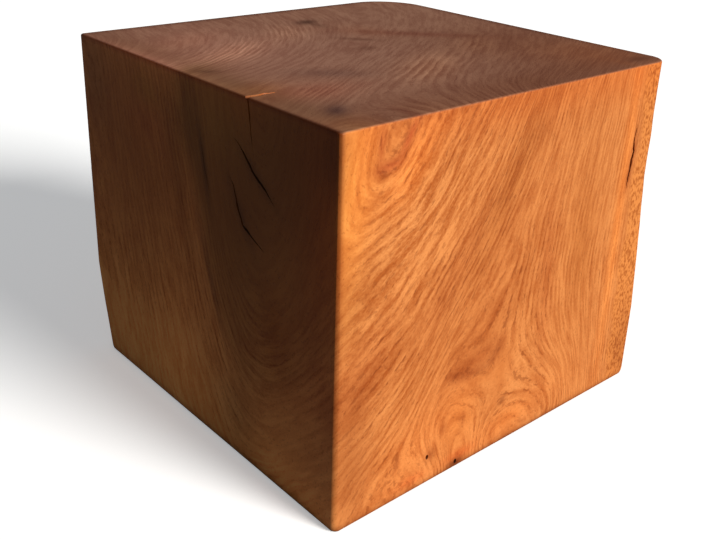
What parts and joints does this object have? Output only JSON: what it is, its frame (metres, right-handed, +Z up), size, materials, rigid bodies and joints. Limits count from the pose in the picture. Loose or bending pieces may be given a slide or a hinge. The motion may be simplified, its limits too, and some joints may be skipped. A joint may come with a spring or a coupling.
{
  "type": "decorative wooden block",
  "caption": "Squared solid hardwood block with a rounded back corner, natural wane on two upright edges, drying checks and borer holes.",
  "frame": {"origin": "middle of the foot, on the surface that the block stands on", "axes": "+X along the front face, +Y from the front face to the back, +Z up along the grain"},
  "size_m": [0.356, 0.35, 0.3],
  "materials": {
    "hardwood": "oiled, sanded smooth, open pored"
  },
  "bodies": {
    "root": {"block": "hardwood"}
  },
  "joints": []
}
